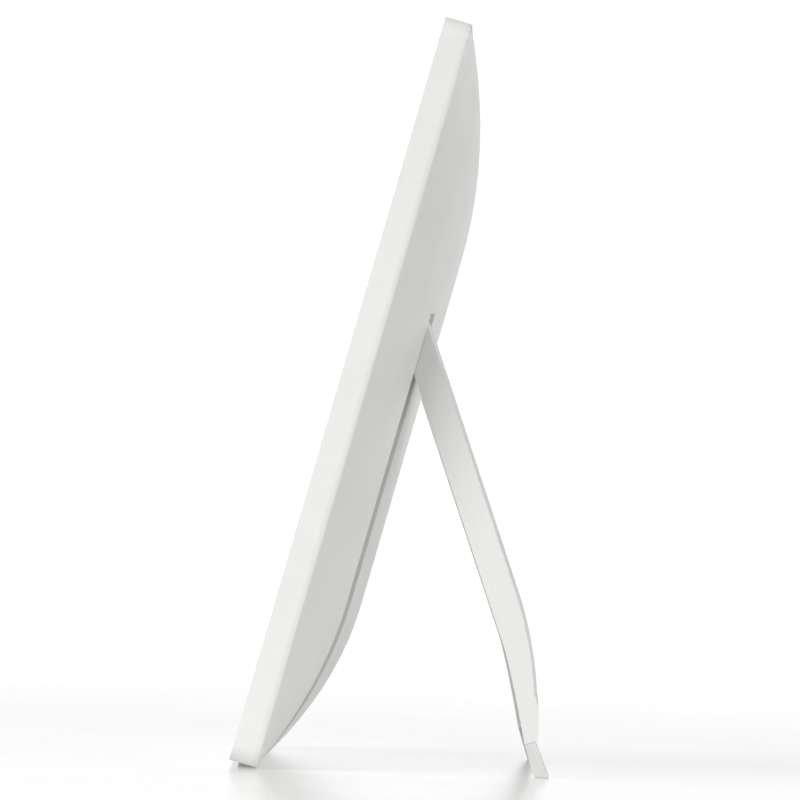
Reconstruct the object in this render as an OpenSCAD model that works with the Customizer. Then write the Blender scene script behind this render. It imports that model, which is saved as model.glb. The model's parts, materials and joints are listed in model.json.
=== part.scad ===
// Free-standing digital photo frame: a thin front bezel around a 10.4 inch
// screen, a pillow-shaped rear cover that holds the electronics, and a stand of
// two arms with rubber feet that fold into grooves in the cover.
//
// Frame-local coordinates are [x, v, u]: x across the frame, v back from the
// front face, u up the frame from its bottom edge. on_frame() leans them back
// into the row frame. Stand coordinates are [x, b, z]: b back from the hinge
// pins, z up the folded arm from them. on_stand() swings them open.

/* [Bezel] */
// Width of the front bezel
bezel_w = 268; // [262:1:330]
// Height of the front bezel
bezel_h = 211.5; // [204:0.5:260]
// Depth of the bezel from its front face to the parting line
bezel_t = 6.5; // [6:0.1:8]
// Corner radius of the bezel seen from the front
bezel_corner_r = 5; // [2:0.5:12]
// Thickness of the bezel's front plate
face_wall = 2; // [1.6:0.1:2.4]
// Thickness of the bezel's side walls
rim_wall = 2; // [1.4:0.1:2.6]

/* [Screen] */
// Width of the picture area
picture_w = 211.2; // [190:0.1:216]
// Height of the picture area
picture_h = 158.4; // [140:0.1:160]
// Width of the screen module
screen_w = 236; // [225:1:242]
// Height of the screen module
screen_h = 176; // [168:1:182]
// Thickness of the clear window in front of the screen
window_t = 1; // [0.8:0.1:1.2]
// Thickness of the screen's glass sandwich
glass_t = 1.4; // [1:0.1:1.6]
// Thickness of the diffuser sheet
diffuser_t = 0.4; // [0.2:0.1:0.6]
// Thickness of the light guide
guide_t = 2; // [1.5:0.1:2.2]
// Sheet thickness of the screen's steel tray
tray_t = 0.5; // [0.4:0.1:0.8]

/* [Rear cover] */
// Height of the cover's straight rim behind the parting line
rim_h = 1.2; // [1:0.1:2]
// Rise of the pillow from the rim to its flat middle
dome_h = 15.2; // [14:0.1:20]
// Length of the curve at the bottom end
dome_bottom = 50; // [45:1:65]
// Length of the curve at the top end
dome_top = 62; // [50:1:70]
// Length of the curve at each side
dome_side = 60; // [50:1:70]
// Wall of the rear cover
cover_wall = 2; // [1.6:0.1:2.4]
// Distance of each stand groove's middle from the side edge
groove_inset = 31.6; // [30:0.1:40]
// Wall of the channel around each groove
channel_wall = 1.6; // [1.2:0.1:2]

/* [Stand] */
// Backward lean of the frame when it stands, in degrees
lean = 14; // [8:0.5:20]
// Swing of the stand from folded to open, in degrees
open_angle = 34.5; // [28:0.5:40]
// Height of the hinge pins above the bottom edge, along the frame
pivot_u = 127.75; // [105:0.25:155]
// Depth of the hinge pins behind the front face
pivot_v = 15.7; // [15:0.1:16.5]
// Width of a stand arm
arm_t = 3.8; // [3.6:0.1:5.4]
// Depth of an arm in front of the pin axis
arm_front = 4.3; // [3.6:0.1:4.6]
// Radius of a hinge pin
pin_r = 1.25; // [1:0.05:1.6]
// Length of the rubber foot at the end of an arm
leg_foot_len = 10; // [8:0.5:14]
// Depth of an arm's foot at its sole
sole_depth = 4.15; // [3.6:0.05:4.4]

/* [Keys] */
// Number of menu keys
key_count = 5; // [3:1:5]
// Distance between neighbouring keys
key_pitch = 16; // [14:1:17]
// Radius of a key cap
key_r = 4.5; // [3.5:0.1:5]
// How far a key stands out of the cover
key_proud = 0; // [0:0.1:1]
// Travel of a key
key_travel = 0.5; // [0.3:0.1:0.6]

/* [Circuit boards] */
// Thickness of the circuit boards
board_t = 1.6; // [1:0.2:1.6]
// Width of the main board
board_w = 83; // [80:1:90]
// Height of the main board
board_h = 49; // [48:1:50]

/* [Hidden] */
$fn = 48;

// clearances
eps = 0.02;              // gap between pieces that touch in the real object
slip = 0.05;             // radial clearance of a turning pin
key_gap = 0.3;           // gap around a key and around a socket's face
arm_gap = 0.4;           // gap at each side of an arm in its groove
fold_gap = 0.5;          // gap in front of a folded arm
far = 60;                // longer than any cut needs to be

// depths behind the front face, front to back
window_v = face_wall + eps;
glass_v = window_v + window_t + 0.1;
diffuser_v = glass_v + glass_t + eps;
guide_v = diffuser_v + diffuser_t + eps;
tray_floor_v = guide_v + guide_t + 0.1;
tray_back_v = tray_floor_v + tray_t;
board_v = tray_back_v + 1.45;
board_back_v = board_v + board_t;
mid_u = bezel_h / 2;
screen_top_u = mid_u + screen_h / 2;
screen_bottom_u = mid_u - screen_h / 2;

// pillow shape: straight rim plus the product of an end curve and a side curve
function rise(d, length) = d >= length ? 1 : 1 - pow(1 - d / length, 2);
function end_rise(u) = min(rise(u, dome_bottom), rise(bezel_h - u, dome_top));
function side_rise(x) = rise(bezel_w / 2 - abs(x), dome_side);
function back_v(x, u) = bezel_t + rim_h + dome_h * end_rise(u) * side_rise(x);
plateau_v = bezel_t + rim_h + dome_h;
edge_r = 1.5;            // rounding between the rim and the pillow
edge_turn = 61;          // angle that the rounding turns through
inner_v = plateau_v - cover_wall;

// stand
arm_x = bezel_w / 2 - groove_inset;
head_r = back_v(arm_x, pivot_u) - pivot_v;
groove_half = arm_t / 2 + arm_gap;
channel_half = groove_half + channel_wall;
groove_floor_v = pivot_v - arm_front - fold_gap;
groove_top_u = pivot_u + max(arm_front, head_r) + 0.7;
boss_len = 2.4;
pin_outer = groove_half + channel_wall + 1;
stand_tilt = open_angle - lean;
clip_x = arm_x - channel_half - boss_len - 0.6;
heel_reach = pivot_v - groove_floor_v - 0.1;
heel_half = 2;
cover_slope = atan((back_v(arm_x - 2, pivot_u) - back_v(arm_x + 2, pivot_u)) / 4);

// standing height: the cover's lower rim corner clears the surface by foot_lift
foot_lift = 0.4;
frame_z = (bezel_t + rim_h) * sin(lean) + foot_lift;
pivot_y = pivot_v * cos(lean) + pivot_u * sin(lean);
pivot_z = frame_z + pivot_u * cos(lean) - pivot_v * sin(lean);

// lower end of an arm in stand coordinates; its foot is cut level with the surface
neck_b = -5.8;
joint_z = leg_foot_len - (pivot_z + neck_b * sin(stand_tilt)) / cos(stand_tilt);
joint_u = pivot_u + joint_z;
joint_v = pivot_v + neck_b;
joint_depth = 3.1;
bend_u = 36;                           // below this an arm tapers towards its foot
neck_front_b = neck_b - joint_depth / 2;
neck_back_b = back_v(arm_x, joint_u) - pivot_v;
sole_back_b = -3.65;
tongue_len = 5;
tongue_b = (neck_front_b + neck_back_b) / 2;

// the middle of the standing object's depth goes to y = 0
sole_z = -(pivot_z + sole_back_b * sin(stand_tilt)) / cos(stand_tilt);
back_y = pivot_y - sole_z * sin(stand_tilt) + sole_back_b * cos(stand_tilt);
frame_y = -back_y / 2;

// main board, its sockets open into a bay in the cover's side
bay_wall_x = -(bezel_w / 2 - 30);
bay_bottom_u = groove_top_u + channel_wall + 3.6;
bay_len = 42;
bay_floor_v = tray_back_v + 0.3 + 1.2;
bay_wall = 1.6;
board_x0 = bay_wall_x + bay_wall + 0.2;
board_u0 = bay_bottom_u + 0.4;
board_x1 = board_x0 + board_w;
board_u1 = board_u0 + board_h;
socket_x = bay_wall_x + 0.2;
usb = [14, 5.7, 13.2];
jack = [13, 6, 9];
slider = [6, 3.5, 8];
usb_u = board_u0 + 0.8 + usb[2] / 2;
jack_u = usb_u + usb[2] / 2 + 3 + jack[2] / 2;
slider_u = jack_u + jack[2] / 2 + 4.5 + slider[2] / 2;
slider_travel = 2;
knob = [5.4, 1.6, 3];
card = [26, 3, 28];
card_x = board_x0 + 57;
card_u = board_u1 + 5 - card[2];
jack_axis_v = board_back_v + jack[1] / 2;
jack_bore_r = 2.7;
knob_v = board_back_v + slider[1] / 2;
knob_u = slider_u - slider_travel / 2;
knob_run = [knob_u - knob[2] / 2 - key_gap, knob_u + knob[2] / 2 + slider_travel + key_gap];
cell_r = 10;
cell_t = 3.2;
cell_x = board_x0 + 31.5;
cell_u = board_u0 + 36;
post_r = 2.6;
board_post_at = [[board_x0 + 21, board_u0 + 24], [board_x1 - 4, board_u0 + 4],
                 [board_x0 + 5, board_u1 - 4], [board_x1 - 4, board_u1 - 4]];

// keys
key_row_u = pivot_u + 15;
key_x0 = board_x1 + 19 + 4;
key_board_v = inner_v - 8.9;
switch_size = 6;
switch_h = 3.5;
switch_back_v = key_board_v + board_t + switch_h;
plunger_r = 1.7;
plunger_len = 1.6;
plunger_proud = key_travel + 0.5;
flange_h = 1;
key_post_x = [key_x0 - 11, key_x0 + (key_count - 1) * key_pitch + 11];

// speakers
speaker_x = 50;
speaker_r = 14;
speaker_u = dome_bottom + speaker_r + 0.5;
speaker_h = 6;
slot_half = 0.9;
lead_r = 0.6;
lead_sides = 8;

// remote control receiver and light strip
receiver_x = bezel_w / 2 - 24;
receiver_u = 9;
receiver_r = 2.5;
strip_h = 2.4;

// rubber feet
foot_len = 18;
foot_x = [-bezel_w / 2 + 30, bezel_w / 2 - 30];
foot_front_v = 2.6;
foot_back_v = bezel_t + 0.8;
foot_pocket = 1;

// screws
case_screw_x = [-66, 0, 66];
case_screw_u = [screen_bottom_u - 3.35, bezel_h - 10.5];
case_boss_r = 3.2;
case_screw_r = 1.1;
case_seat_v = bezel_t + 2.4;
clamp_x = screen_w / 2 + 4;
clamp_u = [mid_u - 55, min(mid_u + 20, bay_bottom_u - 12.2)];
clamp_v = tray_back_v + eps;
clamp_t = 0.8;
small_screw_r = 0.85;

white = [0.93, 0.93, 0.91];
grey_rubber = [0.62, 0.62, 0.56];
foot_grey = [0.84, 0.84, 0.83];
board_green = [0.10, 0.38, 0.22];
steel = [0.72, 0.73, 0.75];
black = [0.10, 0.10, 0.11];

// ---------- placement and shape helpers ----------

module on_frame()
    translate([0, frame_y, frame_z]) rotate([-lean, 0, 0]) children();

module on_stand()
    on_frame() translate([0, pivot_v, pivot_u]) rotate([open_angle, 0, 0]) children();

// outline in [v, u] or [b, z], extruded from x0 to x1
module along_x(x0, x1)
    translate([x0, 0, 0]) rotate([90, 0, 90]) linear_extrude(x1 - x0) children();

// outline in [x, u], extruded from v0 to v1
module along_v(v0, v1)
    translate([0, v1, 0]) rotate([90, 0, 0]) linear_extrude(v1 - v0) children();

module rod_v(x, u, v0, v1, r)
    translate([x, v1, u]) rotate([90, 0, 0]) cylinder(r = r, h = v1 - v0);

module rod_x(x0, x1, r)
    translate([x0, 0, 0]) rotate([0, 90, 0]) cylinder(r = r, h = x1 - x0);

module block(x, v, u)
    translate([x[0], v[0], u[0]]) cube([x[1] - x[0], v[1] - v[0], u[1] - u[0]]);

module rounded_outline(w, h, r)
    union() {
        translate([-w / 2 + r, 0]) square([w - 2 * r, h]);
        translate([-w / 2, r]) square([w, h - 2 * r]);
        for (x = [-w / 2 + r, w / 2 - r], y = [r, h - r]) translate([x, y]) circle(r);
    }

// the same at both sides of the frame
module both_sides() {
    children();
    mirror([1, 0, 0]) children();
}

// screw pointing forward from its head, which starts at v and stands back from it
module screw_forward(x, u, v, r, len, head_r, head_h)
    difference() {
        union() {
            rod_v(x, u, v - len, v + eps, r);
            rod_v(x, u, v, v + head_h, head_r);
        }
        for (a = [0, 90])
            translate([x, v + head_h, u]) rotate([0, a, 0])
                cube([head_r * 1.3, head_h, 0.35 * r], center = true);
    }

// screw pointing back from its head, which ends at v
module screw_back(x, u, v, r, len, head_r, head_h)
    translate([0, 2 * v, 0]) mirror([0, 1, 0]) screw_forward(x, u, v, r, len, head_r, head_h);

// pillow-shaped solid from v0 back to the surface less an offset, over an outline
// that is smaller than the cover by inset
module pillow(v0, offset, inset, steps) {
    half_w = bezel_w / 2 - inset;
    xs = concat([-half_w], [for (i = [1:steps]) -bezel_w / 2 + dome_side * i / steps],
                [for (i = [0:steps - 1]) bezel_w / 2 - dome_side * (1 - i / steps)], [half_w]);
    us = concat([inset], [for (i = [1:steps]) dome_bottom * i / steps],
                [for (i = [0:steps - 1]) bezel_h - dome_top * (1 - i / steps)], [bezel_h - inset]);
    n = len(xs);
    m = len(us);
    back = [for (u = us, x = xs) [x, max(v0 + 0.2, back_v(x, u) - offset), u]];
    front = [for (u = us, x = xs) [x, v0, u]];
    at = function(i, j) j * n + i;
    low = function(i, j) n * m + j * n + i;
    polyhedron(concat(back, front), concat(
        [for (j = [0:m - 2], i = [0:n - 2]) [at(i, j), at(i + 1, j + 1), at(i, j + 1)]],
        [for (j = [0:m - 2], i = [0:n - 2]) [at(i, j), at(i + 1, j), at(i + 1, j + 1)]],
        [[low(0, m - 1), low(n - 1, m - 1), low(n - 1, 0), low(0, 0)]],
        [[low(0, 0), low(n - 1, 0), for (i = [n - 1:-1:0]) at(i, 0)]],
        [[low(n - 1, m - 1), low(0, m - 1), for (i = [0:n - 1]) at(i, m - 1)]],
        [[low(0, m - 1), low(0, 0), for (j = [0:m - 1]) at(0, j)]],
        [[low(n - 1, 0), low(n - 1, m - 1), for (j = [m - 1:-1:0]) at(n - 1, j)]]));
}

// ---------- bezel and screen ----------

module front_bezel() color(white) on_frame() difference() {
    union() {
        difference() {
            along_v(0, bezel_t) rounded_outline(bezel_w, bezel_h, bezel_corner_r);
            along_v(face_wall, bezel_t + 1)
                translate([0, rim_wall])
                    rounded_outline(bezel_w - 2 * rim_wall, bezel_h - 2 * rim_wall,
                                    bezel_corner_r - rim_wall / 2);
        }
        for (x = case_screw_x, u = case_screw_u)
            rod_v(x, u, face_wall - eps, bezel_t - eps, case_boss_r - 0.4);
        for (x = [-clamp_x, clamp_x], u = clamp_u)
            rod_v(x, u, face_wall - eps, clamp_v - eps, post_r);
    }
    block([-picture_w / 2 - 0.4, picture_w / 2 + 0.4], [-1, face_wall + 1],
          [mid_u - picture_h / 2 - 0.4, mid_u + picture_h / 2 + 0.4]);
    for (x = case_screw_x, u = case_screw_u) rod_v(x, u, face_wall - 0.6, far, case_screw_r + eps);
    for (x = [-clamp_x, clamp_x], u = clamp_u)
        rod_v(x, u, face_wall - 0.6, far, small_screw_r + eps);
    rod_v(receiver_x, receiver_u, -1, far, receiver_r + 0.1);
    for (x = foot_x) block([x - foot_len / 2, x + foot_len / 2], [foot_front_v, far], [-1, foot_pocket]);
}

module screen_window() color([0.85, 0.90, 0.92, 0.4]) on_frame()
    block([-picture_w / 2 - 4, picture_w / 2 + 4], [window_v, window_v + window_t],
          [mid_u - picture_h / 2 - 4, mid_u + picture_h / 2 + 4]);

module receiver_window() color([0.12, 0.05, 0.06]) on_frame() {
    rod_v(receiver_x, receiver_u, 0.1, face_wall + 0.4, receiver_r);
    rod_v(receiver_x, receiver_u, face_wall + eps, face_wall + 0.4, receiver_r + 1);
}

module ir_receiver() color(black) on_frame() union() {
    block([receiver_x - 2.5, receiver_x + 2.5], [face_wall + 1.6, bezel_t - 1.2],
          [receiver_u - 3, receiver_u + 3]);
    rod_v(receiver_x, receiver_u, face_wall + 0.6, face_wall + 1.7, 1.9);
    for (dx = [-1.5, 0, 1.5])
        block([receiver_x + dx - 0.25, receiver_x + dx + 0.25], [bezel_t - 2, bezel_t - 1.6],
              [receiver_u + 2.9, receiver_u + 7]);
}

module screen_sheet(v, t, border)
    block([-screen_w / 2 + border, screen_w / 2 - border], [v, v + t],
          [screen_bottom_u + border, screen_top_u - border]);

module screen_glass() color([0.05, 0.05, 0.06]) on_frame() screen_sheet(glass_v, glass_t, tray_t + 0.2);

module diffuser_sheet() color([0.96, 0.96, 0.96]) on_frame()
    screen_sheet(diffuser_v, diffuser_t, tray_t + 1);

module light_guide() color([0.86, 0.93, 0.96]) on_frame()
    block([-screen_w / 2 + tray_t + 1, screen_w / 2 - tray_t - 1], [guide_v, guide_v + guide_t],
          [screen_bottom_u + tray_t + strip_h + 1, screen_top_u - tray_t - 1]);

module backlight_strip() color([0.95, 0.95, 0.90]) on_frame() union() {
    block([-screen_w / 2 + 6, screen_w / 2 - 6], [guide_v + 0.05, guide_v + guide_t - 0.1],
          [screen_bottom_u + tray_t + 0.3, screen_bottom_u + tray_t + 1.3]);
    for (i = [-13:13])
        block([i * 8 - 1.5, i * 8 + 1.5], [guide_v + 0.2, guide_v + guide_t - 0.3],
              [screen_bottom_u + tray_t + 1.2, screen_bottom_u + tray_t + strip_h]);
}

module screen_tray() color(steel) on_frame() difference() {
    screen_sheet(glass_v + 0.2, tray_back_v - glass_v - 0.2, 0);
    translate([0, -far, 0]) screen_sheet(tray_floor_v, far, tray_t);
}

// the board is long enough to reach the flat cable of the main board
module screen_driver_board() color(board_green) on_frame() union() {
    block([min(-62, board_x0 + 40.2), 62], [tray_back_v + eps, tray_back_v + 0.8], [mid_u - 56, mid_u - 42]);
    for (x = [-34, -6, 34])
        block([x - 5, x + 5], [tray_back_v + 0.78, tray_back_v + 1.8], [mid_u - 53, mid_u - 45]);
}

// flat cable from the driver board up to the back of the main board
module screen_cable() color([0.80, 0.55, 0.20]) on_frame() {
    x = board_x0 + 50;
    low_v = tray_back_v + 0.82;
    top_v = board_back_v + eps;
    turn_u = board_u0 - 4;
    t = 0.2;
    along_x(x, x + 10) polygon([
        [low_v, mid_u - 48], [low_v + t, mid_u - 48], [low_v + t, turn_u - 5], [top_v + t, turn_u],
        [top_v + t, board_u0 + 3], [top_v, board_u0 + 3], [top_v, turn_u + 0.4], [low_v, turn_u - 4.6]]);
}

module screen_clamps() color(steel) on_frame() both_sides()
    for (u = clamp_u) difference() {
        block([screen_w / 2 - 6, clamp_x + 3], [clamp_v, clamp_v + clamp_t], [u - 5, u + 5]);
        rod_v(clamp_x, u, 0, far, small_screw_r + 0.15);
    }

module clamp_screws() color(steel) on_frame() both_sides()
    for (u = clamp_u)
        screw_forward(clamp_x, u, clamp_v + clamp_t + eps, small_screw_r, 5.5, 1.8, 0.8);

// ---------- main board ----------

module main_board() color(board_green) on_frame() difference() {
    block([board_x0, board_x1], [board_v, board_back_v], [board_u0, board_u1]);
    board_posts(0, far, small_screw_r + 0.2);
}

module board_posts(v0, v1, r)
    for (p = board_post_at) rod_v(p[0], p[1], v0, v1, r);

module board_screws() color(steel) on_frame()
    for (p = board_post_at)
        screw_back(p[0], p[1], board_v - eps, small_screw_r, board_t + 1.2, 1.9, 0.9);

// chip body with its rows of legs along u
module chip(x, u, w, h, t) {
    block([x - w / 2, x + w / 2], [board_back_v + 0.15, board_back_v + t], [u - h / 2, u + h / 2]);
    for (s = [-1, 1], i = [-3:3])
        translate([x + s * (w / 2 + 0.3), board_back_v + 0.2, u + i * h / 8])
            cube([1, 0.36, 0.6], center = true);
}

module processor() color(black) on_frame() chip(board_x0 + 38, board_u0 + 12, 20, 20, 1.4);

module memory_chips() color(black) on_frame()
    for (x = [board_x0 + 65, board_x0 + 75]) chip(x, board_u0 + 13.5, 6.5, 11, 1);

module capacitors() color([0.55, 0.57, 0.62]) on_frame()
    for (p = [[10, 32], [10, 39], [16, 36]])
        rod_v(board_x0 + p[0], board_u0 + p[1], board_back_v + eps, board_back_v + 3.2, 2.6);

module power_coil() color([0.20, 0.20, 0.22]) on_frame()
    difference() {
        block([board_x0 + 16, board_x0 + 22], [board_back_v + eps, board_back_v + 3],
              [board_u0 + 6, board_u0 + 12]);
        rod_v(board_x0 + 19, board_u0 + 9, board_back_v + 2, far, 1.8);
    }

module clock_cell() color([0.80, 0.81, 0.83]) on_frame()
    rod_v(cell_x, cell_u, board_back_v + 1, board_back_v + 1 + cell_t, cell_r);

module cell_holder() color(black) on_frame() difference() {
    rod_v(cell_x, cell_u, board_back_v + eps, board_back_v + 3.4, cell_r + 1.2);
    rod_v(cell_x, cell_u, board_back_v + 1 - eps, far, cell_r + 0.1);
    block([cell_x - 4, cell_x + 4], [board_back_v + 1 - eps, far], [cell_u, cell_u + far]);
}

// ---------- sockets and switch ----------

module usb_socket() color(steel) on_frame() union() {
    difference() {
        block([socket_x, socket_x + usb[0]], [board_back_v + eps, board_back_v + usb[1]],
              [usb_u - usb[2] / 2, usb_u + usb[2] / 2]);
        block([socket_x - 1, socket_x + usb[0] - 1], [board_back_v + 0.35, board_back_v + usb[1] - 0.3],
              [usb_u - usb[2] / 2 + 0.3, usb_u + usb[2] / 2 - 0.3]);
    }
    block([socket_x + 1, socket_x + usb[0] - 0.5], [board_back_v + 3.9, board_back_v + usb[1] - 0.2],
          [usb_u - 5.5, usb_u + 5.5]);
}

module dc_jack() color(black) on_frame() union() {
    difference() {
        block([socket_x, socket_x + jack[0]], [board_back_v + eps, board_back_v + jack[1]],
              [jack_u - jack[2] / 2, jack_u + jack[2] / 2]);
        translate([0, jack_axis_v, jack_u]) rod_x(socket_x - 1, socket_x + 10, jack_bore_r);
    }
    translate([0, jack_axis_v, jack_u]) rod_x(socket_x + 1, socket_x + 11, 0.65);
}

module card_socket() color(steel) on_frame() difference() {
    block([card_x - card[0] / 2, card_x + card[0] / 2], [board_back_v + eps, board_back_v + card[1]],
          [card_u, card_u + card[2]]);
    block([card_x - 12.2, card_x + 12.2], [board_back_v + 0.4, board_back_v + card[1] - 0.3],
          [card_u + 1, card_u + far]);
}

module switch_body() color(black) on_frame() difference() {
    block([board_x0 + eps, board_x0 + slider[0]], [board_back_v + eps, board_back_v + slider[1]],
          [slider_u - slider[2] / 2, slider_u + slider[2] / 2]);
    block([board_x0 - 1, board_x0 + 3], [knob_v - knob[1] / 2 - 0.2, knob_v + knob[1] / 2 + 0.2],
          knob_run);
}

module switch_knob() color(black) on_frame()
    block([bay_wall_x - 1.4, bay_wall_x - 1.4 + knob[0]], [knob_v - knob[1] / 2, knob_v + knob[1] / 2],
          [knob_u - knob[2] / 2, knob_u + knob[2] / 2]);

// ---------- keys ----------

function key_x(i) = key_x0 + (i - 1) * key_pitch;

module key(i) color(white) on_frame() union() {
    rod_v(key_x(i), key_row_u, inner_v - 1, plateau_v + key_proud, key_r);
    rod_v(key_x(i), key_row_u, inner_v - 0.1 - flange_h, inner_v - 0.1, key_r + 1.1);
    rod_v(key_x(i), key_row_u, switch_back_v + plunger_proud + eps, inner_v - flange_h, 1.6);
}

module plunger(i) color(black) on_frame()
    rod_v(key_x(i), key_row_u, switch_back_v + plunger_proud - plunger_len,
          switch_back_v + plunger_proud, plunger_r);

module key_board() color(board_green) on_frame() difference() {
    block([key_post_x[0] - 4, key_post_x[1] + 4], [key_board_v, key_board_v + board_t],
          [key_row_u - 8, key_row_u + 8]);
    for (x = key_post_x) rod_v(x, key_row_u, 0, far, small_screw_r + 0.2);
}

module tact_switches() color([0.25, 0.25, 0.27]) on_frame()
    for (i = [1:key_count]) difference() {
        block([key_x(i) - switch_size / 2, key_x(i) + switch_size / 2],
              [key_board_v + board_t + eps, switch_back_v],
              [key_row_u - switch_size / 2, key_row_u + switch_size / 2]);
        rod_v(key_x(i), key_row_u, switch_back_v - 1.6, far, plunger_r + 0.1);
    }

module key_board_screws() color(steel) on_frame()
    for (x = key_post_x)
        screw_back(x, key_row_u, key_board_v - eps, small_screw_r, board_t + 5, 1.9, 0.9);

// flat cable from the main board's edge to the key board
module key_cable() color([0.88, 0.88, 0.85]) on_frame() {
    x0 = board_x1 - 3;
    x1 = key_post_x[0] + 1;
    low = board_back_v + eps;
    high = key_board_v - 0.25;
    t = 0.2;
    translate([0, 0, key_row_u + 3]) linear_extrude(4)
        polygon([[x0, low], [board_x1 + 1, low], [x1 - 5, high], [x1 + 2, high],
                 [x1 + 2, high + t], [x1 - 5.1, high + t], [board_x1 + 0.9, low + t], [x0, low + t]]);
}

// ---------- sound ----------

module speaker(x) color(black) on_frame()
    translate([x, inner_v - 0.1, speaker_u]) rotate([90, 0, 0]) union() {
        difference() {
            cylinder(r = speaker_r, h = 1);
            translate([0, 0, -1]) cylinder(r = speaker_r - 2, h = 1.6);
        }
        translate([0, 0, 0.98]) cylinder(r1 = speaker_r - 2, r2 = 8, h = 2);
        translate([0, 0, 2.96]) cylinder(r = 8, h = speaker_h - 3);
    }

// a thin lead swept along a list of [x, v, u] points
module lead(points, r) {
    last = len(points) - 1;
    unit = function(d) d / norm(d);
    rings = [for (i = [0:last])
        let (d = unit(points[min(i + 1, last)] - points[max(i - 1, 0)]),
             a = unit(cross(d, [0.3, 1, 0.2])), b = cross(d, a))
            for (k = [0:lead_sides - 1])
                points[i] + r * (a * cos(360 * k / lead_sides) + b * sin(360 * k / lead_sides))];
    at = function(i, k) i * lead_sides + k % lead_sides;
    polyhedron(rings, concat(
        [for (i = [0:last - 1], k = [0:lead_sides - 1]) [at(i, k), at(i + 1, k + 1), at(i, k + 1)]],
        [for (i = [0:last - 1], k = [0:lead_sides - 1]) [at(i, k), at(i + 1, k), at(i + 1, k + 1)]],
        [[for (k = [0:lead_sides - 1]) at(0, k)], [for (k = [lead_sides - 1:-1:0]) at(last, k)]]));
}

module speaker_leads() color([0.75, 0.12, 0.10]) on_frame() {
    v = inner_v - speaker_h - lead_r - 0.1;
    end_v = board_back_v + lead_r + 0.1;
    for (p = [[-1, 3, 13], [1, 5.5, 16]])
        lead([[p[0] * (speaker_x - 6), v, speaker_u], [p[0] * (speaker_x - 14), v, speaker_u + 14],
              [board_x1 + p[1], v, pivot_u - 10], [board_x1 + p[1], v, board_u0 + p[2]],
              [board_x1 - 3, end_v, board_u0 + p[2]]], lead_r);
}

// ---------- rear cover ----------

// what stands inside the hollow of the cover
module cover_features() {
    both_sides() {
        block([arm_x - channel_half, arm_x + channel_half], [groove_floor_v - 1.2, far],
              [0, groove_top_u + channel_wall]);
        block([arm_x - channel_half, arm_x + channel_half], [0, far], [0, joint_u + 2.2]);
        translate([0, pivot_v, pivot_u])
            rod_x(arm_x - channel_half - boss_len, arm_x + pin_outer + 0.8, 4.2);
    }
    for (x = case_screw_x, u = case_screw_u) rod_v(x, u, 0, far, case_boss_r);
    board_posts(board_back_v + eps, far, post_r);
    for (x = key_post_x) rod_v(x, key_row_u, key_board_v + board_t + eps, far, post_r);
    for (s = [-1, 1]) difference() {
        rod_v(s * speaker_x, speaker_u, inner_v - 3, far, speaker_r + 1.8);
        rod_v(s * speaker_x, speaker_u, 0, far, speaker_r + 0.3);
    }
    block([-far * 3, bay_wall_x + bay_wall], [bay_floor_v - 1.2, far],
          [bay_bottom_u - bay_wall, bay_bottom_u + bay_len + bay_wall]);
}

// groove for one arm: floor, tapered lower run and open bottom end
module groove() along_x(arm_x - groove_half, arm_x + groove_half)
    polygon(concat(
        [[far, -5], [far, groove_top_u], [groove_floor_v, groove_top_u], [groove_floor_v, bend_u]],
        [for (i = [1:8]) let (u = bend_u + (joint_u - bend_u) * i / 8) [arm_inner_v(u) - fold_gap, u]],
        [[bezel_t + rim_h, joint_u], [bezel_t + rim_h, -5]]));

// convex blank whose edge is rounded from the rim into the pillow's slope
module rounded_rim() {
    start_v = bezel_t + rim_h - edge_r * tan(edge_turn / 2);
    top_v = plateau_v + 2;
    end_v = start_v + edge_r * sin(edge_turn);
    end_inset = edge_r * (1 - cos(edge_turn));
    hull() {
        along_v(bezel_t - 1, start_v) rounded_outline(bezel_w, bezel_h, bezel_corner_r);
        for (a = [edge_turn / 4:edge_turn / 4:edge_turn])
            rim_slice(start_v + edge_r * sin(a), edge_r * (1 - cos(a)));
        rim_slice(top_v, end_inset + (top_v - end_v) * tan(edge_turn));
    }
}

module rim_slice(v, inset)
    along_v(v - eps, v) translate([0, inset])
        rounded_outline(bezel_w - 2 * inset, bezel_h - 2 * inset, max(bezel_corner_r - inset, 1));

// hole through the bay's wall for a socket of that [x, v, u] size
module socket_hole(size, u)
    block([bay_wall_x - 1, socket_x + size[0] + key_gap],
          [board_back_v - key_gap, board_back_v + size[1] + key_gap],
          [u - size[2] / 2 - key_gap, u + size[2] / 2 + key_gap]);

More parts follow.
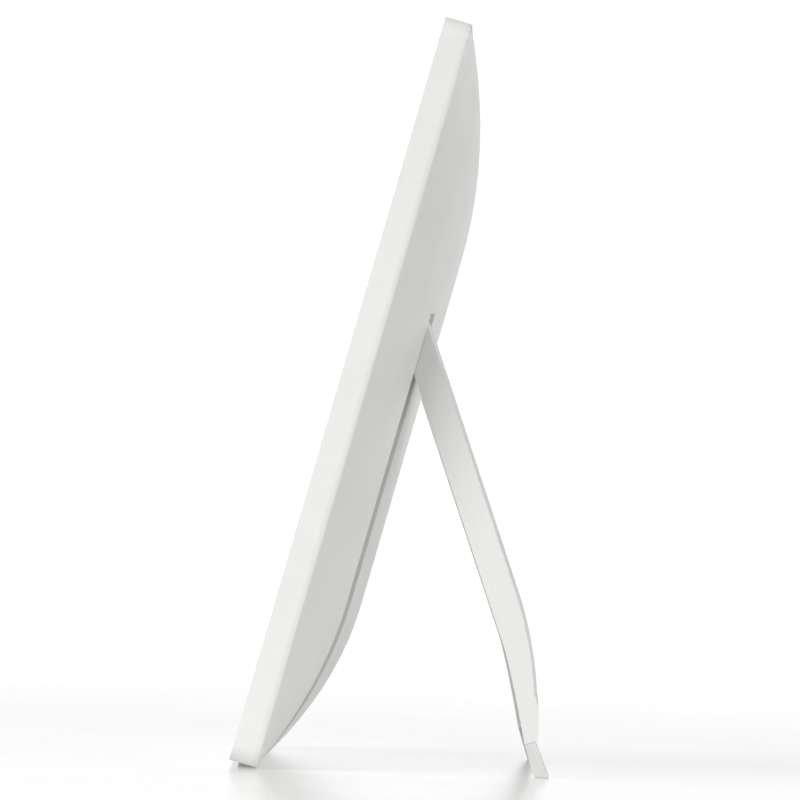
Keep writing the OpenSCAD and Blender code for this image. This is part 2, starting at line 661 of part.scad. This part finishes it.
module rear_cover() color(white) on_frame() difference() {
    union() {
        difference() {
            intersection() {
                pillow(bezel_t + eps, 0, -0.5, 10);
                rounded_rim();
            }
            difference() {
                pillow(bezel_t - 1, cover_wall, rim_wall + 1.2, 5);
                cover_features();
            }
        }
        difference() {
            along_v(bezel_t - 1.5, bezel_t + 0.5) translate([0, rim_wall + 0.2])
                rounded_outline(bezel_w - 2 * rim_wall - 0.4, bezel_h - 2 * rim_wall - 0.4,
                                bezel_corner_r - rim_wall / 2);
            along_v(0, far) translate([0, rim_wall + 1.2])
                rounded_outline(bezel_w - 2 * rim_wall - 2.4, bezel_h - 2 * rim_wall - 2.4,
                                bezel_corner_r - rim_wall / 2);
            for (x = foot_x)
                block([x - foot_len / 2 - 1, x + foot_len / 2 + 1], [0, bezel_t], [-1, 8]);
        }
    }
    both_sides() groove();
    both_sides() translate([0, pivot_v, pivot_u])
        rod_x(arm_x - channel_half - boss_len - 1, arm_x + pin_outer, pin_r + eps);
    for (x = case_screw_x, u = case_screw_u) {
        rod_v(x, u, 0, far, case_screw_r + 0.3);
        rod_v(x, u, case_seat_v, far, 2.4);
    }
    board_posts(0, board_back_v + 1.4, small_screw_r + eps);
    for (x = key_post_x) rod_v(x, key_row_u, 0, inner_v - 2, small_screw_r + eps);
    for (i = [1:key_count]) rod_v(key_x(i), key_row_u, inner_v - 1, far, key_r + key_gap);
    // speaker slots
    for (s = [-1, 1], i = [-2:2]) {
        half = sqrt(pow(speaker_r - 3, 2) - pow(i * 4.5, 2));
        x = s * speaker_x + i * 4.5;
        block([x - slot_half, x + slot_half], [inner_v - 1, far], [speaker_u - half, speaker_u + half]);
    }
    // cooling slots above the main board
    for (x = [board_x0 + 35:5:board_x0 + 76])
        block([x - slot_half, x + slot_half], [inner_v - 3, far], [board_u0 + 18, board_u0 + 30]);
    // socket bay with its openings
    block([-far * 3, bay_wall_x], [bay_floor_v, far], [bay_bottom_u, bay_bottom_u + bay_len]);
    socket_hole(usb, usb_u);
    socket_hole(jack, jack_u);
    block([bay_wall_x - 1, board_x0 + slider[0]],
          [knob_v - knob[1] / 2 - key_gap, knob_v + knob[1] / 2 + key_gap], knob_run);
    // mouth for a memory card
    block([card_x - card[0] / 2 - key_gap, card_x + card[0] / 2 + key_gap],
          [board_back_v - key_gap, board_back_v + card[1] + key_gap], [card_u + card[2] - 8, far * 4]);
    // pockets for the rubber feet
    for (x = foot_x) block([x - foot_len / 2, x + foot_len / 2], [0, foot_back_v], [-1, foot_pocket]);
}

module case_screws() color(steel) on_frame()
    for (x = case_screw_x, u = case_screw_u)
        screw_forward(x, u, case_seat_v + eps, case_screw_r, case_seat_v - face_wall, 2.1, 1.3);

// rubber feet under the bottom edge, cut level with the surface
module rubber_feet() color(grey_rubber) difference() {
    on_frame() for (x = foot_x)
        block([x - foot_len / 2 + 0.1, x + foot_len / 2 - 0.1], [foot_front_v + 0.1, foot_back_v - 0.1],
              [-3, foot_pocket - eps]);
    translate([-far * 4, -far * 4, -far]) cube([far * 8, far * 8, far]);
}

// ---------- hinge ----------

module hinge_pins() color(steel) on_frame() both_sides() translate([0, pivot_v, pivot_u])
    difference() {
        rod_x(arm_x - channel_half - boss_len - 1.6, arm_x + pin_outer - 0.1, pin_r);
        difference() {
            rod_x(clip_x, clip_x + 0.5, pin_r + 1);
            rod_x(clip_x - 1, clip_x + 2, pin_r - 0.3);
        }
    }

module pin_clips() color(black) on_frame() both_sides() translate([clip_x, pivot_v, pivot_u])
    difference() {
        translate([0.05, 0, 0]) rod_x(0, 0.4, pin_r + 1.1);
        rod_x(-1, 2, pin_r - 0.3 + eps);
        translate([0.25, 0, pin_r + 1]) cube([2, 1.4, 2 * pin_r + 0.4], center = true);
    }

module friction_washers() color([0.82, 0.80, 0.72]) on_frame() both_sides()
    for (s = [-1, 1]) translate([arm_x + s * (groove_half - arm_gap / 2), pivot_v, pivot_u])
        difference() {
            rod_x(-arm_gap / 2 + eps, arm_gap / 2 - eps, 3.3);
            rod_x(-1, 1, pin_r + slip);
        }

// ---------- stand ----------

// front edge of a folded arm, straight down to the bend and then drawn in to the crossbar
function arm_inner_v(u) = u >= bend_u ? pivot_v - arm_front
    : pivot_v - arm_front
      - (pivot_v - arm_front - joint_v + joint_depth / 2) * pow((bend_u - u) / (bend_u - joint_u), 1.3);

// side outline of an arm in [b, z]
module arm_outline() {
    bottom = joint_u;
    circle(head_r);
    polygon([for (p = concat(
        [[pivot_v + head_r, pivot_u]],
        [for (i = [0:12]) let (u = dome_bottom + (bottom - dome_bottom) * i / 12)
            [max(back_v(arm_x, u), arm_inner_v(u) + joint_depth), u]],
        [for (i = [0:8]) let (u = bottom + (bend_u - bottom) * i / 8) [arm_inner_v(u), u]],
        [[pivot_v - arm_front, pivot_u]])) p - [pivot_v, pivot_u]]);
}

// heel that meets the groove's floor when the stand is open
module arm_heel() {
    a = open_angle;
    polygon([[0, 0], [-arm_front, 0], [-heel_reach * cos(a), heel_reach * sin(a)],
             [-heel_reach * cos(a) + heel_half * sin(a), heel_reach * sin(a) + heel_half * cos(a)],
             [0, head_r]]);
}

// the arm's back edge is cut at the slope that the cover has beside the groove
module arm() difference() {
    union() {
        intersection() {
            along_x(arm_x - arm_t / 2, arm_x + arm_t / 2) union() {
                translate([0.6, 0]) arm_outline();
                arm_outline();
                arm_heel();
            }
            translate([arm_x, 0, 0]) rotate([0, 0, -cover_slope]) translate([-arm_x, 0, 0])
                along_x(arm_x - 20, arm_x + 20) union() {
                    arm_outline();
                    translate([-head_r * 3, joint_z]) square([head_r * 3, head_r * 2 - joint_z]);
                }
        }
        block([arm_x - 1.2, arm_x + 1.2], [tongue_b - 0.8, tongue_b + 0.8],
              [joint_z - tongue_len, joint_z + 1]);
    }
    rod_x(arm_x - far, arm_x + far, pin_r + slip);
}

module stand_arm_right() color(white) on_stand() arm();
module stand_arm_left() color(white) on_stand() mirror([1, 0, 0]) arm();

// rubber foot over an arm's tongue, wider towards its sole and cut level with the surface
module leg_foot() difference() {
    on_stand() difference() {
        along_x(arm_x - arm_t / 2, arm_x + arm_t / 2)
            polygon([[neck_front_b, joint_z - eps], [neck_back_b, joint_z - eps],
                     [sole_back_b, sole_z - 3], [sole_back_b - sole_depth, sole_z - 3]]);
        block([arm_x - 1.2 - eps, arm_x + 1.2 + eps], [tongue_b - 0.8 - eps, tongue_b + 0.8 + eps],
              [joint_z - tongue_len - 0.1, far]);
    }
    translate([-far * 4, -far * 4, -far]) cube([far * 8, far * 8, far]);
}

module leg_foot_right() color(foot_grey) leg_foot();
module leg_foot_left() color(foot_grey) mirror([1, 0, 0]) leg_foot();

// ---------- parts ----------

front_bezel();
screen_window();
receiver_window();
ir_receiver();
screen_glass();
diffuser_sheet();
light_guide();
backlight_strip();
screen_tray();
screen_driver_board();
screen_cable();
screen_clamps();
clamp_screws();
main_board();
processor();
memory_chips();
capacitors();
power_coil();
clock_cell();
cell_holder();
usb_socket();
dc_jack();
card_socket();
switch_body();
switch_knob();
board_screws();
key_board();
tact_switches();
key_cable();
key_board_screws();
speaker(-speaker_x);  // speaker_left
speaker(speaker_x);  // speaker_right
speaker_leads();
rear_cover();
case_screws();
hinge_pins();
friction_washers();
pin_clips();
rubber_feet();
stand_arm_left();
stand_arm_right();
leg_foot_left();
leg_foot_right();
for (i = [1:key_count]) {
    key(i);
    plunger(i);
}
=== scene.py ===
"""Looks for the digital photo frame: materials, softened edges, camera and studio."""
import json
import math

import bpy
from mathutils import Matrix, Vector


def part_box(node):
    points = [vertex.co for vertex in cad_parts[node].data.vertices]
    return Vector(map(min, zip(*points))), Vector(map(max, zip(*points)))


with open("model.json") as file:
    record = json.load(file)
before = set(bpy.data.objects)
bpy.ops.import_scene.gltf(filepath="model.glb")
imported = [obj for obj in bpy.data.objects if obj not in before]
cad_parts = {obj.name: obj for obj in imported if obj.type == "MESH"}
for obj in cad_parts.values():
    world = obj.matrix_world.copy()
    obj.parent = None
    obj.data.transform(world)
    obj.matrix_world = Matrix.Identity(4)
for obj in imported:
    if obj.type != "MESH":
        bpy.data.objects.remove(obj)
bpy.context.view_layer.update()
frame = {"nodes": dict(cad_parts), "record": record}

MM = 0.001
NODES = frame["nodes"]
SLOT_OF = {s["node"]: s["material_slot"] for s in frame["record"]["subparts"]}


# ---------- material helpers ----------

def new_material(name):
    """A material with its Principled shader, and the object's own coordinates in metres."""
    mat = bpy.data.materials.new(name)
    mat.use_nodes = True
    nodes = mat.node_tree.nodes
    nodes.clear()
    out = nodes.new("ShaderNodeOutputMaterial")
    shader = nodes.new("ShaderNodeBsdfPrincipled")
    mat.node_tree.links.new(shader.outputs["BSDF"], out.inputs["Surface"])
    place = nodes.new("ShaderNodeTexCoord").outputs["Object"]
    return mat, shader, place


def noise(mat, place, scale, detail=3.0, stretch=None):
    """Noise value at that many features a metre, stretched along the axes if asked."""
    nodes, links = mat.node_tree.nodes, mat.node_tree.links
    if stretch:
        mapping = nodes.new("ShaderNodeMapping")
        mapping.inputs["Scale"].default_value = stretch
        links.new(place, mapping.inputs["Vector"])
        place = mapping.outputs["Vector"]
    tex = nodes.new("ShaderNodeTexNoise")
    tex.inputs["Scale"].default_value = scale
    tex.inputs["Detail"].default_value = detail
    links.new(place, tex.inputs["Vector"])
    return tex.outputs["Fac"]


def spread(mat, value, low, high, start=0.35, stop=0.65):
    """That value taken from start..stop to low..high."""
    node = mat.node_tree.nodes.new("ShaderNodeMapRange")
    node.inputs["From Min"].default_value = start
    node.inputs["From Max"].default_value = stop
    node.inputs["To Min"].default_value = low
    node.inputs["To Max"].default_value = high
    mat.node_tree.links.new(value, node.inputs["Value"])
    return node.outputs["Result"]


def blend_colours(mat, value, first, second):
    """Colour between first and second as value goes from 0 to 1."""
    node = mat.node_tree.nodes.new("ShaderNodeMix")
    node.data_type = "RGBA"
    node.inputs["A"].default_value = (*first, 1)
    node.inputs["B"].default_value = (*second, 1)
    mat.node_tree.links.new(value, node.inputs["Factor"])
    return node.outputs["Result"]


def relief(mat, shader, height, depth_mm):
    """Bump of that depth from a height value."""
    node = mat.node_tree.nodes.new("ShaderNodeBump")
    node.inputs["Distance"].default_value = depth_mm * MM
    node.inputs["Strength"].default_value = 1.0
    mat.node_tree.links.new(height, node.inputs["Height"])
    mat.node_tree.links.new(node.outputs["Normal"], shader.inputs["Normal"])


def scaled(colour, factor):
    """That colour, lighter or darker."""
    return tuple(c * factor for c in colour)


def surface(name, colour, roughness, shade=0.03, mottle=40, grain=2500, grain_mm=0.004,
            metallic=0.0, stretch=None, coat=0.0):
    """Moulded, rolled or printed surface: faint mottling, uneven roughness and a fine grain."""
    mat, shader, place = new_material(name)
    links = mat.node_tree.links
    cloud = spread(mat, noise(mat, place, mottle, 4), 0, 1)
    links.new(blend_colours(mat, cloud, scaled(colour, 1 - shade), scaled(colour, 1 + shade)),
              shader.inputs["Base Color"])
    fine = noise(mat, place, grain, 2, stretch)
    links.new(spread(mat, noise(mat, place, mottle * 3, 4), roughness * 0.88, roughness * 1.12),
              shader.inputs["Roughness"])
    relief(mat, shader, fine, grain_mm)
    shader.inputs["Metallic"].default_value = metallic
    shader.inputs["Coat Weight"].default_value = coat
    return mat


def clear_sheet(name, colour, roughness, transmission=1.0):
    """Polished acrylic with the faintest wipe marks."""
    mat, shader, place = new_material(name)
    links = mat.node_tree.links
    wipes = noise(mat, place, 30, 5, (1, 1, 4))
    links.new(spread(mat, wipes, roughness, roughness + 0.03), shader.inputs["Roughness"])
    links.new(blend_colours(mat, spread(mat, wipes, 0, 1), colour, scaled(colour, 0.985)),
              shader.inputs["Base Color"])
    shader.inputs["Transmission Weight"].default_value = transmission
    shader.inputs["IOR"].default_value = 1.49
    return mat


def cell_screen(name):
    """Switched-off screen: near-black surface with its fine columns of cells."""
    mat, shader, place = new_material(name)
    nodes, links = mat.node_tree.nodes, mat.node_tree.links
    cells = nodes.new("ShaderNodeTexWave")
    cells.bands_direction = "X"
    cells.inputs["Scale"].default_value = 1200
    links.new(place, cells.inputs["Vector"])
    between_cells = (0.010, 0.011, 0.014)
    cell = (0.016, 0.017, 0.021)
    links.new(blend_colours(mat, cells.outputs["Fac"], between_cells, cell),
              shader.inputs["Base Color"])
    links.new(spread(mat, noise(mat, place, 25, 4), 0.20, 0.27), shader.inputs["Roughness"])
    relief(mat, shader, noise(mat, place, 6000, 1), 0.002)
    return mat


def make_materials():
    """One procedural material for each of the record's material slots."""
    gold = (0.62, 0.38, 0.12)
    return {
        "white_plastic": surface("white_plastic", (0.81, 0.81, 0.79), 0.36, shade=0.012),
        "key_plastic": surface("key_plastic", (0.78, 0.78, 0.765), 0.30, shade=0.012),
        "clear_acrylic": clear_sheet("clear_acrylic", (0.96, 0.97, 0.97), 0.02),
        "dark_acrylic": surface("dark_acrylic", (0.035, 0.008, 0.012), 0.10, grain_mm=0.001),
        "screen": cell_screen("screen"),
        "diffuser": surface("diffuser", (0.86, 0.86, 0.86), 0.6),
        "light_guide": clear_sheet("light_guide", (0.88, 0.95, 0.96), 0.05, 0.6),
        "light_strip": surface("light_strip", (0.82, 0.82, 0.70), 0.5),
        "steel_sheet": surface("steel_sheet", (0.60, 0.61, 0.63), 0.34, metallic=1.0,
                               stretch=(1, 12, 12), grain=900),
        "board": surface("board", (0.03, 0.16, 0.07), 0.32, shade=0.12, mottle=300, coat=0.4),
        "flex": surface("flex", gold, 0.4, shade=0.08, mottle=400),
        "flex_white": surface("flex_white", (0.78, 0.78, 0.75), 0.45),
        "screw_steel": surface("screw_steel", (0.56, 0.57, 0.59), 0.30, metallic=1.0, mottle=600),
        "spring_steel": surface("spring_steel", (0.10, 0.10, 0.11), 0.35, metallic=1.0),
        "chip": surface("chip", (0.025, 0.025, 0.028), 0.55, grain_mm=0.01),
        "can": surface("can", (0.66, 0.67, 0.69), 0.28, metallic=1.0),
        "black_plastic": surface("black_plastic", (0.02, 0.02, 0.021), 0.42, shade=0.1),
        "socket_metal": surface("socket_metal", (0.66, 0.66, 0.68), 0.22, metallic=1.0,
                                stretch=(1, 10, 10)),
        "speaker": surface("speaker", (0.03, 0.03, 0.03), 0.7, shade=0.15, mottle=500,
                           grain_mm=0.02),
        "lead_red": surface("lead_red", (0.42, 0.03, 0.025), 0.45),
        "washer": surface("washer", (0.72, 0.69, 0.58), 0.5),
        "grey_rubber": surface("grey_rubber", (0.50, 0.50, 0.44), 0.75, shade=0.06, mottle=300,
                               grain=1500, grain_mm=0.02),
        "foot_rubber": surface("foot_rubber", (0.70, 0.70, 0.69), 0.6, mottle=300, grain=1500,
                               grain_mm=0.015),
    }


# ---------- softened edges on the CAD nodes ----------

WELD_MM = 0.002         # corners of facets nearer than this are one corner
FLAT_ANGLE = 0.2        # degrees between facets that belong to one flat face
EDGE_ANGLE = 35         # degrees from which an edge is rounded
EDGE_SEGMENTS = 3       # strips across a rounded edge
SMOOTH_ANGLE = 32       # degrees below which an edge is shaded smooth
KEY_EDGE_MM = 0.3       # rounding of each key cap

# Rounding of each piece's edges. The rear cover's rim is rounded in its own shape.
EDGE_MM = {
    "front_bezel": 0.45, "stand_arm_left": 0.4, "stand_arm_right": 0.4,
    "leg_foot_left": 0.35, "leg_foot_right": 0.35, "rubber_feet": 0.2, "switch_knob": 0.15,
    "screen_window": 0.05, "receiver_window": 0.15,
}


def smoothing_group():
    """Node group that shades every face smooth and keeps the edges above an angle sharp."""
    group = bpy.data.node_groups.new("smooth_by_angle", "GeometryNodeTree")
    group.interface.new_socket("Geometry", in_out="INPUT", socket_type="NodeSocketGeometry")
    group.interface.new_socket("Geometry", in_out="OUTPUT", socket_type="NodeSocketGeometry")
    nodes, links = group.nodes, group.links
    source = nodes.new("NodeGroupInput")
    result = nodes.new("NodeGroupOutput")
    faces = nodes.new("GeometryNodeSetShadeSmooth")
    edges = nodes.new("GeometryNodeSetShadeSmooth")
    edges.domain = "EDGE"
    edges.inputs["Shade Smooth"].default_value = False
    angle = nodes.new("GeometryNodeInputMeshEdgeAngle")
    compare = nodes.new("FunctionNodeCompare")
    compare.operation = "GREATER_THAN"
    compare.inputs["B"].default_value = math.radians(SMOOTH_ANGLE)
    links.new(angle.outputs["Unsigned Angle"], compare.inputs["A"])
    links.new(compare.outputs["Result"], edges.inputs["Selection"])
    links.new(source.outputs["Geometry"], faces.inputs["Geometry"])
    links.new(faces.outputs["Geometry"], edges.inputs["Geometry"])
    links.new(edges.outputs["Geometry"], result.inputs["Geometry"])
    return group


SMOOTH = smoothing_group()


def soften(obj, width_mm):
    """Merged corners, edges rounded to that width, then smooth shading below an angle."""
    weld = obj.modifiers.new("weld", "WELD")
    weld.merge_threshold = WELD_MM * MM
    if width_mm:
        flat = obj.modifiers.new("flat", "DECIMATE")
        flat.decimate_type = "DISSOLVE"
        flat.angle_limit = math.radians(FLAT_ANGLE)
        bevel = obj.modifiers.new("edges", "BEVEL")
        bevel.width = width_mm * MM
        bevel.segments = EDGE_SEGMENTS
        bevel.limit_method = "ANGLE"
        bevel.angle_limit = math.radians(EDGE_ANGLE)
        bevel.use_clamp_overlap = True
        bevel.miter_outer = "MITER_ARC"
    smooth = obj.modifiers.new("smooth", "NODES")
    smooth.node_group = SMOOTH
    normals = obj.modifiers.new("normals", "WEIGHTED_NORMAL")
    normals.keep_sharp = True
    normals.weight = 100


def is_key_cap(name):
    return name.startswith("key_") and name[len("key_"):].isdigit()


def dress_nodes(materials):
    """Each CAD node gets its slot's material and its softened edges."""
    for name, obj in NODES.items():
        obj.data.materials.clear()
        obj.data.materials.append(materials[SLOT_OF[name]])
        soften(obj, KEY_EDGE_MM if is_key_cap(name) else EDGE_MM.get(name, 0))


# ---------- studio ----------

FLOOR_HALF = 60.0               # metres from the object to the floor's edge
FLOOR_GAP_MM = 0.05             # keeps the floor from touching the soles
FADE_START, FADE_STOP = 0.4, 1.2    # metres over which the floor fades into the background
FLOOR_GLOW_SEEN = 0.17          # glow of the floor in the picture
FLOOR_GLOW_CAST = 0.34          # glow of the floor as a light on the object
BACKGROUND_SEEN = 1.03          # white of the surroundings in the picture and in reflections
BACKGROUND_CAST = 0.085         # the surroundings as a light on the object
AIM = Vector((0, 0, 0.1))       # middle of the object


def floor_material():
    """Pale glossy floor that fades away with the distance from the object."""
    mat, shader, place = new_material("floor")
    links = mat.node_tree.links
    cloud = spread(mat, noise(mat, place, 3, 3), 0, 1)
    links.new(blend_colours(mat, cloud, (0.50, 0.50, 0.50), (0.52, 0.52, 0.52)),
              shader.inputs["Base Color"])
    links.new(spread(mat, noise(mat, place, 8, 2), 0.15, 0.16), shader.inputs["Roughness"])
    shader.inputs["Emission Color"].default_value = (1, 1, 1, 1)
    distance = mat.node_tree.nodes.new("ShaderNodeVectorMath")
    distance.operation = "LENGTH"
    links.new(place, distance.inputs[0])
    links.new(spread(mat, distance.outputs["Value"], 1.0, 0.0, FADE_START, FADE_STOP),
              shader.inputs["Alpha"])
    ray = mat.node_tree.nodes.new("ShaderNodeLightPath")
    glow = spread(mat, ray.outputs["Is Diffuse Ray"], FLOOR_GLOW_SEEN, FLOOR_GLOW_CAST)
    links.new(glow, shader.inputs["Emission Strength"])
    return mat


def lay_floor():
    """Large level floor just under the object."""
    mat = floor_material()
    mesh = bpy.data.meshes.new("floor")
    corners = [(x * FLOOR_HALF, y * FLOOR_HALF, 0) for x, y in ((-1, -1), (1, -1), (1, 1), (-1, 1))]
    mesh.from_pydata(corners, [], [(0, 1, 2, 3)])
    mesh.materials.append(mat)
    floor = bpy.data.objects.new("floor", mesh)
    bpy.context.scene.collection.objects.link(floor)
    floor.location.z = -FLOOR_GAP_MM * MM


def set_surroundings():
    """White all around to the eye and to reflections, but only a dim light on the object."""
    world = bpy.data.worlds.new("studio")
    bpy.context.scene.world = world
    world.use_nodes = True
    nodes, links = world.node_tree.nodes, world.node_tree.links
    nodes.clear()
    out = nodes.new("ShaderNodeOutputWorld")
    seen = nodes.new("ShaderNodeBackground")
    seen.inputs["Color"].default_value = (1, 1, 1, 1)
    seen.inputs["Strength"].default_value = BACKGROUND_SEEN
    light = nodes.new("ShaderNodeBackground")
    light.inputs["Color"].default_value = (1.0, 1.0, 0.985, 1)
    light.inputs["Strength"].default_value = BACKGROUND_CAST
    mix = nodes.new("ShaderNodeMixShader")
    path = nodes.new("ShaderNodeLightPath")
    links.new(path.outputs["Is Diffuse Ray"], mix.inputs["Fac"])
    links.new(seen.outputs["Background"], mix.inputs[1])
    links.new(light.outputs["Background"], mix.inputs[2])
    links.new(mix.outputs["Shader"], out.inputs["Surface"])


def softbox(name, at, size, power):
    """Square lamp of that size in metres and power in watts, aimed at the object."""
    lamp = bpy.data.lights.new(name, "AREA")
    lamp.size = size
    lamp.energy = power
    obj = bpy.data.objects.new(name, lamp)
    bpy.context.scene.collection.objects.link(obj)
    obj.location = at
    aim = AIM - Vector(at)
    obj.rotation_mode = "QUATERNION"
    obj.rotation_quaternion = aim.to_track_quat("-Z", "Y")


def studio():
    """Floor, surroundings and three softboxes."""
    lay_floor()
    set_surroundings()
    softbox("key", (1.9, -1.3, 1.3), 1.2, 45)
    softbox("front", (0.6, -2.0, 1.6), 1.4, 22)
    softbox("back", (0.9, 2.1, 0.7), 1.6, 20)


def camera():
    """Level view of the frame's right side from far away, rolled a little."""
    distance = 4.0          # metres from the frame's side
    seen_width = 0.2184     # metres across the picture at that side
    middle_y, middle_z = -0.0012, 0.1023
    side_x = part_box("front_bezel")[1].x
    roll = math.radians(2.25)
    data = bpy.data.cameras.new("camera")
    data.sensor_width = 36
    data.lens = data.sensor_width * distance / seen_width
    data.clip_end = 200
    obj = bpy.data.objects.new("camera", data)
    bpy.context.scene.collection.objects.link(obj)
    right = Vector((0, math.cos(roll), math.sin(roll)))
    up = Vector((0, -math.sin(roll), math.cos(roll)))
    back = Vector((1, 0, 0))
    turn = Matrix((right, up, back)).transposed().to_4x4()
    obj.matrix_world = Matrix.Translation((side_x + distance, middle_y, middle_z)) @ turn
    bpy.context.scene.camera = obj


camera()
dress_nodes(make_materials())
studio()
bpy.context.scene.view_settings.view_transform = "Standard"
